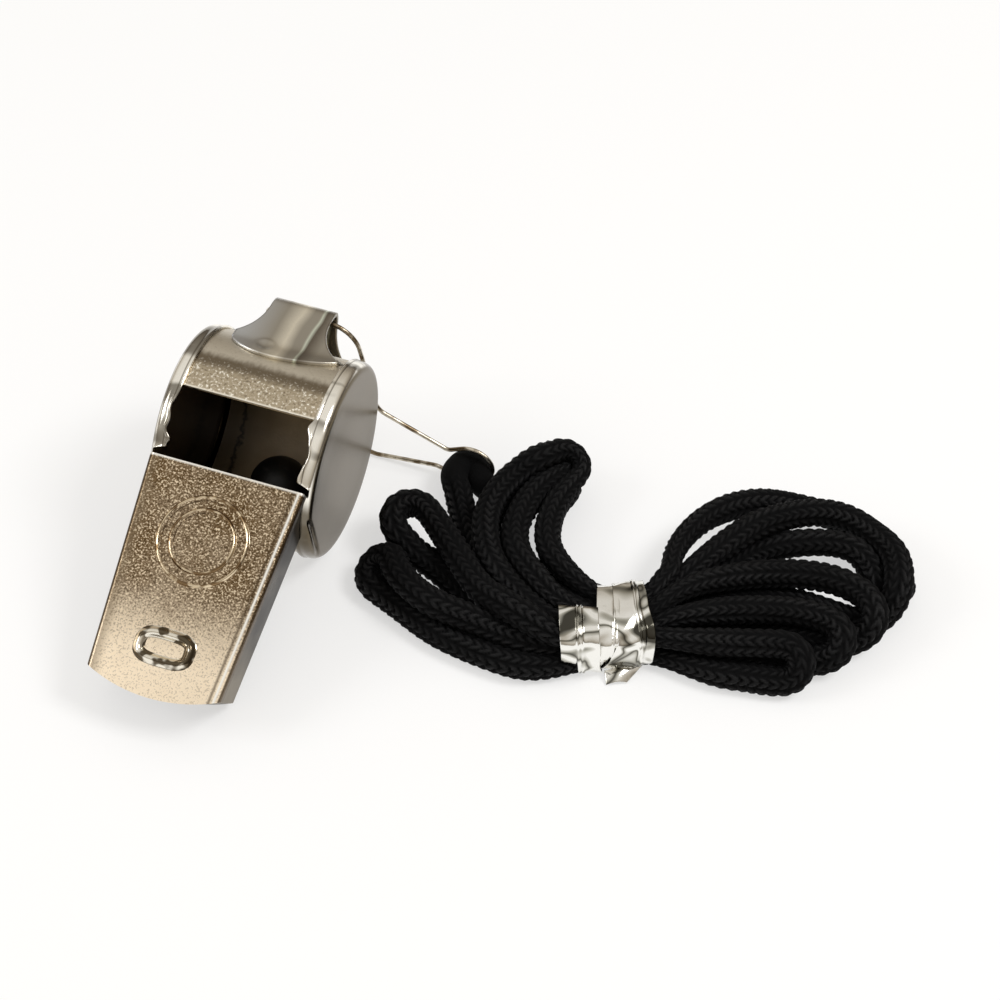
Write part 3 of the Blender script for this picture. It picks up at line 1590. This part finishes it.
    def build(self) -> bpy.types.Object:
        """Makes the tie's mesh from its windings, loose end and twist.

        Returns:
            The tie's object.
        """
        stretches = [
            self.strip(self.inner_winding, self.ridge_middle),
            self.strip(self.outer_winding, self.outer_ridge_middle),
            self.strip(self.loose_end, self.ridge_middle, rows=60),
            self.twist(),
        ]
        vertices: list[Array] = []
        faces: list = []
        for sheets in stretches:
            points, more = slab(sheets, sum(len(part) for part in vertices))
            vertices.append(points)
            faces += more
        tie = mesh_piece("foil_strip", self.hank.to_frame(np.vstack(vertices)), faces, "lanyard")
        self.finish.dress(tie)
        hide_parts("foil_tie")
        LOG.info("foil_strip: %d stretches", len(stretches))
        return tie


@dataclass
class PressedBorder:
    """A rounded ridge pressed up out of the top plate, along a closed outline.

    Lengths are in millimetres from the barrel's axis, as the top plate lies. The outline is an
    ellipse at a squareness of 1, and its sides are flatter below 1.
    """

    name: str
    behind: float
    half_wide: float
    half_long: float
    squareness: float
    half_ridge: float
    height: float
    plate: float = 11.0
    sunk: float = 0.01
    fullness: float = 0.8
    spacing: float = 0.12
    sections: int = 160
    profile: int = 17

    def build(self, axis: BarrelAxis, finish: Finish) -> bpy.types.Object:
        """Makes the ridge on the plate.

        Args:
            axis: The barrel's axis.
            finish: Finish of the ridge.

        Returns:
            The ridge's object.
        """
        angle = np.linspace(0, 2 * math.pi, self.sections, endpoint=False)
        wide, long = squared_circle(angle, self.squareness)
        outline = np.stack([self.half_wide * wide, self.half_long * long], 1)
        outline = resample(np.vstack([outline, outline[:1]]), self.spacing)[:-1]
        ahead = unit(np.roll(outline, -1, 0) - np.roll(outline, 1, 0))
        outward = np.stack([ahead[:, 1], -ahead[:, 0]], 1)
        across = np.linspace(-1, 1, self.profile)
        place = outline[:, None] + outward[:, None] * (across * self.half_ridge)[None, :, None]
        hill = self.height * (0.5 + 0.5 * np.cos(math.pi * across)) ** self.fullness - self.sunk
        x, y = place[..., 0], place[..., 1] - self.behind
        grid = axis.to_frame(np.stack([x, y, self.plate + np.broadcast_to(hill, x.shape)], -1))
        vertices = grid.transpose(1, 0, 2).reshape(-1, 3)
        faces = grid_faces(self.profile, len(outline), True)
        piece = mesh_piece(self.name, vertices, faces, "whistle")
        finish.dress(piece)
        LOG.info("%s: pressed border", self.name)
        return piece


@dataclass
class EndCap:
    """A pressed end cap: flat face, rounded shoulder, and a rim with a rolled edge.

    The rim's edge is wavy beside the window: each wave has its middle, its size outwards and its
    width. At the top plate's corner the rim keeps clear of the plate. Lengths are in millimetres,
    and angles in degrees round the barrel's axis. The profile's lists give distances from the rim's
    edge, or from the inner face, and from the outer radius.
    """

    axis: BarrelAxis
    side: Side
    waves: Sequence[Wave]
    face: float = 10.0
    radius: float = 12.2
    sheet: float = 0.4
    rim: float = 2.0
    shoulder: float = 1.0
    bead: float = 0.14
    shoulder_points: int = 10
    middle_rings: Sequence[float] = (0.01, 3.0, 6.0)
    outer_rings: Pair = (8.0, 11.0)
    ring_step: float = 0.15
    dish_depth: float = 0.05
    dish_fade: Pair = (7.0, 10.9)
    rim_zone: Pair = (10.9, 11.5)
    edge_zone: float = 0.8
    rolled_edge: Sequence[Pair] = (
        (0.75, 0.14), (0.5, 0.13), (0.38, 0.04), (0.22, 0.0), (0.06, 0.05), (0.0, 0.2), (0.08, 0.4),
    )
    inner_shoulder: Sequence[Pair] = ((0.6, 0.42), (0.2, 0.7), (0.0, 1.2))
    inner_face: Sequence[float] = (9.0, 5.0, 0.01)
    corner_start: Pair = (121.0, 124.0)
    corner_end: Pair = (128.0, 131.0)
    clear_of_plate: float = 9.52
    crease_zone: Pair = (9.3, 9.8)
    crease_middle: Pair = (-10.3, 2.8)
    crease_tilt: float = 0.206
    crease_half: float = 3.9
    crease_depth: float = 0.0
    furrow_width: float = 0.3
    fold: Pair = (-0.75, 0.4)
    fold_share: float = 0.35
    columns: int = 540

    def profile(self) -> Array:
        """Draws half a cross-section, from the middle of the face round the rim and back inside.

        Returns:
            Distance from the whistle's middle and from the axis, one row per point.
        """
        out = np.r_[self.middle_rings, np.arange(*self.outer_rings, self.ring_step)]
        dish = self.dish_depth * (1 - smoothstep(out, *self.dish_fade))
        turn = np.radians(np.linspace(0, 90, self.shoulder_points))
        bend = np.stack([
            self.face + self.shoulder * (np.cos(turn) - 1),
            self.radius - self.bead + self.shoulder * (np.sin(turn) - 1),
        ], 1)
        edge, inner = self.face - self.rim, self.face - self.sheet
        rolled = [(edge + inward, self.radius - under) for inward, under in self.rolled_edge]
        within = [(inner - off, self.radius - under) for off, under in self.inner_shoulder]
        within += [(inner - self.dish_depth, radius) for radius in self.inner_face]
        return np.vstack([np.stack([self.face - dish, out], 1), bend, rolled, within])

    def crease(self, rearward: Array, above: Array) -> Array:
        """Depth of the straight crease across the cap's edge, which has a raised fold beside it.

        Args:
            rearward: Places along the barrel's own rearward direction.
            above: Places square to it.

        Returns:
            How far the sheet is pressed in at each place.
        """
        back, up = rearward - self.crease_middle[0], above - self.crease_middle[1]
        off, along = turned(back, up, self.crease_tilt)
        furrow = ripple(off, 0.0, self.furrow_width) - self.fold_share * ripple(off, *self.fold)
        return self.crease_depth * furrow * np.exp(-((along / self.crease_half) ** 4))

    def shaped(self, across: Array, radius: Array, angle: Array) -> Array:
        """Gives the rim its waves, its gap at the plate's corner, and the crease.

        Args:
            across: Distance from the whistle's middle, as a grid.
            radius: Distance from the axis, as a grid.
            angle: Angle round the axis, one row.

        Returns:
            The shaped distance from the whistle's middle.
        """
        on_rim = smoothstep(radius, *self.rim_zone) * (across < self.clear_of_plate)
        gap = smoothstep(angle, *self.corner_start) * (1 - smoothstep(angle, *self.corner_end))
        near_edge = 1 - smoothstep(across, self.face - self.rim, self.face - self.edge_zone)
        waves = sum(size * ripple(angle, middle, width) for middle, size, width in self.waves)
        across = across + on_rim * near_edge * waves
        across = across + on_rim * gap * (self.clear_of_plate - across)
        turn = np.radians(angle)
        outside = smoothstep(across, *self.crease_zone)
        return across - outside * self.crease(radius * np.cos(turn), radius * np.sin(turn))

    def build(self) -> bpy.types.Object:
        """Turns the profile round the axis and shapes the rim.

        Returns:
            The cap's object.
        """
        profile = self.profile()
        angle = np.linspace(-180, 180, self.columns, endpoint=False)[None, :]
        radius = np.repeat(profile[:, 1:], self.columns, 1)
        across = self.shaped(np.repeat(profile[:, :1], self.columns, 1), radius, angle)
        turn = np.radians(angle)
        out = self.side.value * across
        grid = np.stack([out, radius * np.cos(turn), radius * np.sin(turn)], -1)
        faces = grid_faces(len(profile), self.columns, True)
        if self.side is Side.RIGHT:
            faces = faces[:, ::-1]
        side = self.side.name.lower()
        piece = mesh_piece(f"{side}_cap", self.axis.to_frame(grid).reshape(-1, 3), faces, "whistle")
        PressedCap(f"{side}_cap_nickel", self.axis).dress(piece)
        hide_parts(f"{side}_end_cap")
        LOG.info("%s: %d faces", piece.name, len(faces))
        return piece


@dataclass
class Lug:
    """The lug: one sheet folded over a tube, with two rounded feet on the barrel.

    Lengths are in millimetres and angles in degrees round the barrel's axis. The front leaf has a
    small dent, which is placed by its middle and size across the sheet and in rows along it.
    """

    axis: BarrelAxis
    middle: float = 9.0
    reach: float = 15.65
    tube: float = 1.45
    sheet: float = 0.45
    barrel: float = 11.8
    leaf: float = 46.4
    foot_start: float = 31.5
    foot: float = 11.0
    half_width: float = 3.85
    foot_half: float = 7.8
    left_foot_half: float = 5.9
    lean: float = 3.5
    flank_radius: float = 5.0
    flank_top: float = 15.4
    heel: float = 0.3
    toe_powers: Pair = (2.4, 0.7)
    crown_points: int = 14
    foot_points: int = 12
    outline_step: float = 0.2
    rounding_steps: int = 14
    dent_side: Pair = (-1.6, 0.55)
    dent_row: Pair = (9.0, 3.0)
    dent_depth: float = 0.16
    dent_rim: float = 0.1
    dent_rim_at: float = 1.9
    dent_rim_spread: float = 0.3
    rows: int = 60
    columns: int = 49
    finish: FoldedLug = field(default_factory=lambda: FoldedLug("folded_lug"))

    def half_path(self, start: float, foot: float, inset: float) -> Array:
        """Draws the outline from the tube's crown over one leaf to the end of a foot.

        Args:
            start: Angle where the foot begins.
            foot: Angle that the foot runs on along the barrel.
            inset: Distance inside the outer face.

        Returns:
            Points along the lug's middle direction and square to it.
        """
        crown = np.radians(np.linspace(0, self.leaf, self.crown_points))
        turn = (self.tube - inset) * np.stack([np.cos(crown), np.sin(crown)], 1)
        turn[:, 0] += self.reach
        skin = self.barrel + self.sheet - inset
        end = np.radians(np.linspace(start, start + foot, self.foot_points))
        lie = skin * np.stack([np.cos(end), np.sin(end)], 1)
        path = resample(np.vstack([turn, lie]), self.outline_step)
        for _ in range(self.rounding_steps):
            path[1:-1] = averaged(path)
        return path

    def surface(self, inset: float) -> Array:
        """Lays the lug's outer or inner face.

        Args:
            inset: Distance inside the outer face.

        Returns:
            A grid of points from the front foot over the tube to the rear foot.
        """
        columns = []
        flat, full = self.toe_powers
        for share in np.linspace(-1, 1, self.columns):
            foot = self.foot * max(1 - abs(share) ** flat, 0.0) ** full + self.heel
            start = self.foot_start - self.lean * max(share, 0.0)
            half = self.half_path(start, foot, inset)
            picks = np.linspace(0, len(half) - 1, self.rows)
            half = np.stack([np.interp(picks, np.arange(len(half)), half[:, i]) for i in (0, 1)], 1)
            path = np.vstack([half[::-1], half[1:] * (1, -1)])
            drop = np.clip(self.flank_top - path[:, 0], 0, self.flank_radius)
            width = self.half_width + self.flank_radius - np.sqrt(self.flank_radius**2 - drop**2)
            widest = self.foot_half if share > 0 else self.left_foot_half
            side = share * np.minimum(width, widest)
            columns.append(np.stack([side, path[:, 0], path[:, 1]], 1))
        grid = np.stack(columns, 1)
        x, up, back = grid[..., 0], grid[..., 1] + self.dent(grid[..., 0]), grid[..., 2]
        y, z = turned(up, back, math.radians(self.middle))
        return self.axis.to_frame(np.stack([x, y, z], -1))

    def dent(self, side: Array) -> Array:
        """Draws the small dent in the front leaf, with its raised edge.

        Args:
            side: Places to the right of the middle, row by row.

        Returns:
            How far the sheet stands out at each place.
        """
        (middle, wide), (row, long) = self.dent_side, self.dent_row
        rows = np.arange(len(side))[:, None]
        off = ((side - middle) / wide) ** 2 + ((rows - row) / long) ** 2
        from_rim = np.sqrt(off) - self.dent_rim_at
        raised = self.dent_rim * np.exp(-(from_rim**2) / self.dent_rim_spread)
        return raised - self.dent_depth * np.exp(-off)

    def build(self) -> bpy.types.Object:
        """Makes the lug.

        Returns:
            The lug's object.
        """
        points, faces = slab((self.surface(0.0), self.surface(self.sheet)))
        piece = mesh_piece("folded_lug", points, faces, "whistle")
        self.finish.dress(piece)
        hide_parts("lanyard_lug")
        LOG.info("folded_lug: %d faces", len(faces))
        return piece


@dataclass
class Whistle:
    """The pressed sheets of the whistle, its loose pea and its spring clip.

    A round border has a name, its radius, half its ridge's width and the ridge's height, and a
    wave of a cap's rim is as EndCap says. Lengths are in millimetres.
    """

    nodes: Mapping[str, bpy.types.Object]
    axis: BarrelAxis
    round_behind: float = 15.9
    round_borders: Sequence[tuple[str, float, float, float]] = (
        ("outer_round_border", 5.15, 0.3, 0.26), ("inner_round_border", 3.7, 0.28, 0.24),
    )
    border_bright: Colour = srgb(226, 208, 178)
    border_dark: Colour = srgb(132, 108, 78)
    left_waves: Sequence[Wave] = ((99, 0.45, 6.0), (111, 0.35, 4.0), (116.5, -0.35, 2.2))
    right_waves: Sequence[Wave] = ((91, -0.45, 3.5), (106, 0.55, 7.0), (119, -0.1, 3.0))
    crease_depth: float = 0.34

    def build_borders(self) -> None:
        """Presses the two round borders and the oval one up out of the top plate."""
        champagne = MirrorBorder("round_border_nickel", self.border_bright, self.border_dark)
        for name, half, half_ridge, height in self.round_borders:
            PressedBorder(
                name, behind=self.round_behind, half_wide=half, half_long=half, squareness=1.0,
                half_ridge=half_ridge, height=height,
            ).build(self.axis, champagne)
        PressedBorder(
            "oval_border", behind=28.6, half_wide=2.95, half_long=1.55, squareness=0.62,
            half_ridge=0.72, height=0.55,
        ).build(self.axis, MirrorBorder("oval_nickel"))

    def build_caps(self) -> None:
        """Closes the barrel's two ends; only the right cap has a crease."""
        EndCap(self.axis, Side.LEFT, self.left_waves).build()
        EndCap(self.axis, Side.RIGHT, self.right_waves, crease_depth=self.crease_depth).build()

    def dress(self) -> None:
        """Gives each solid that is kept its own finish."""
        finishes: dict[str, Finish] = {
            "mouthpiece_cover": GrainyPlate("grainy_plate", self.axis),
            "mouthpiece_trough": FoldedWall("folded_wall", self.axis),
            "windway_floor": FoldedWall("windway_sheet", self.axis),
            "barrel_wrap": RolledBarrel("rolled_barrel", self.axis),
            "pea": PeaPlastic("pea_plastic"),
            "wire_clip": DrawnWire("drawn_wire"),
        }
        for node, finish in finishes.items():
            finish.dress(self.nodes[node])
            LOG.info("%s: dressed in %s", node, finish.name)


@dataclass(frozen=True)
class Lamp:
    """A soft square lamp: its place, the point that it faces, its side in metres and its watts."""

    name: str
    place: Point
    aim: Point
    size: float
    power: float

    def build(self) -> bpy.types.Object:
        """Hangs the lamp.

        Returns:
            The lamp's object.
        """
        lamp = linked(self.name, bpy.data.lights.new(self.name, "AREA"))
        lamp.data.shape = "SQUARE"
        lamp.data.size = self.size
        lamp.data.energy = self.power
        back = unit(np.array(self.place) - np.array(self.aim))
        right = unit(np.cross((0.0, 1.0, 0.0), back))
        lamp.matrix_world = placed(self.place, right, np.cross(back, right), back)
        LOG.info("%s: hung", self.name)
        return lamp


@dataclass
class Studio:
    """Camera at the photograph's viewing angle, pale floor and soft light.

    The camera has its place and the directions to its right and downwards, and its lens and sensor
    are in millimetres. The sky is brighter high up and towards the bright side.
    """

    camera_place: Point = (0.06743, -0.14212, 0.18555)
    camera_right: Point = (0.95181, 0.30149, 0.05623)
    camera_down: Point = (0.25942, -0.69363, -0.672)
    lens: float = 72.0
    sensor: float = 36.0
    clip_start: float = 0.01
    floor_half: float = 2.4
    bright_side: Point = (-0.75, -0.5, 0.0)
    bright_side_share: float = 0.25
    sky_rise: Pair = (-0.15, 1.0)
    sky: Sequence[tuple[float, Colour]] = (
        (0.0, srgb(104, 95, 84)), (0.3, srgb(170, 162, 150)), (0.75, srgb(204, 199, 191)),
        (1.0, srgb(226, 223, 218)),
    )
    lamps: Sequence[Lamp] = (
        Lamp("key_lamp", place=(0.36, 0.06, 0.5), aim=(0.03, 0.0, 0.0), size=0.2, power=1.5),
        Lamp("fill_lamp", place=(-0.4, -0.2, 0.34), aim=(0.0, 0.0, 0.01), size=0.22, power=0.8),
    )

    def build_camera(self) -> None:
        """Places the camera and sets the plain view transform."""
        camera = linked("camera", bpy.data.cameras.new("camera"))
        camera.data.lens = self.lens
        camera.data.sensor_width = self.sensor
        camera.data.clip_start = self.clip_start
        right, up = np.array(self.camera_right), -np.array(self.camera_down)
        camera.matrix_world = placed(self.camera_place, right, up, np.cross(right, up))
        bpy.context.scene.camera = camera
        bpy.context.scene.view_settings.view_transform = "Standard"

    def build_floor(self) -> None:
        """Lays the pale floor under the object."""
        half = self.floor_half
        corners = [(-half, -half, 0), (half, -half, 0), (half, half, 0), (-half, half, 0)]
        mesh = bpy.data.meshes.new("studio_floor")
        mesh.from_pydata(corners, [], [(0, 1, 2, 3)])
        floor = linked("studio_floor", mesh)
        PaleFloor("pale_floor").dress(floor)

    def build_world(self) -> None:
        """Makes a soft pale sky, plain white where the camera looks past the floor."""
        world = bpy.data.worlds.new("studio")
        world.use_nodes = True
        bpy.context.scene.world = world
        graph = Graph(world.node_tree)
        direction = graph.value("ShaderNodeTexCoord", output="Generated")
        height = graph.vector("DOT_PRODUCT", direction, (0.0, 0.0, 1.0))
        side = graph.vector("DOT_PRODUCT", direction, self.bright_side)
        sky = graph.ramp((height + side * self.bright_side_share).rise(*self.sky_rise), self.sky)
        seen = graph.value("ShaderNodeLightPath", output="Is Camera Ray")
        light = graph.mix(seen, sky, WHITE)
        made = graph.value("ShaderNodeBackground", {}, {"Color": light, "Strength": 1.0})
        graph.node("ShaderNodeOutputWorld", {}, {"Surface": made})

    def build_light(self) -> None:
        """Makes the sky, and hangs a soft key lamp on the right and a weaker one on the left."""
        self.build_world()
        for lamp in self.lamps:
            lamp.build()


def main() -> None:
    """Builds the scene in order: camera, cord, tie, whistle, then floor and light."""
    logging.basicConfig(level=logging.INFO, format="%(name)s: %(message)s")
    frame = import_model()
    studio = Studio()
    studio.build_camera()
    hank = Hank()
    cord = Cord(hank)
    cord_piece = cord.build()
    tie_piece = FoilTie(hank).build()
    cord.declare()
    axis = BarrelAxis.from_frame()
    whistle = Whistle(frame["nodes"], axis)
    whistle.dress()
    whistle.build_borders()
    Lug(axis).build()
    whistle.build_caps()
    studio.build_floor()
    studio.build_light()


if __name__ == "__main__":
    main()
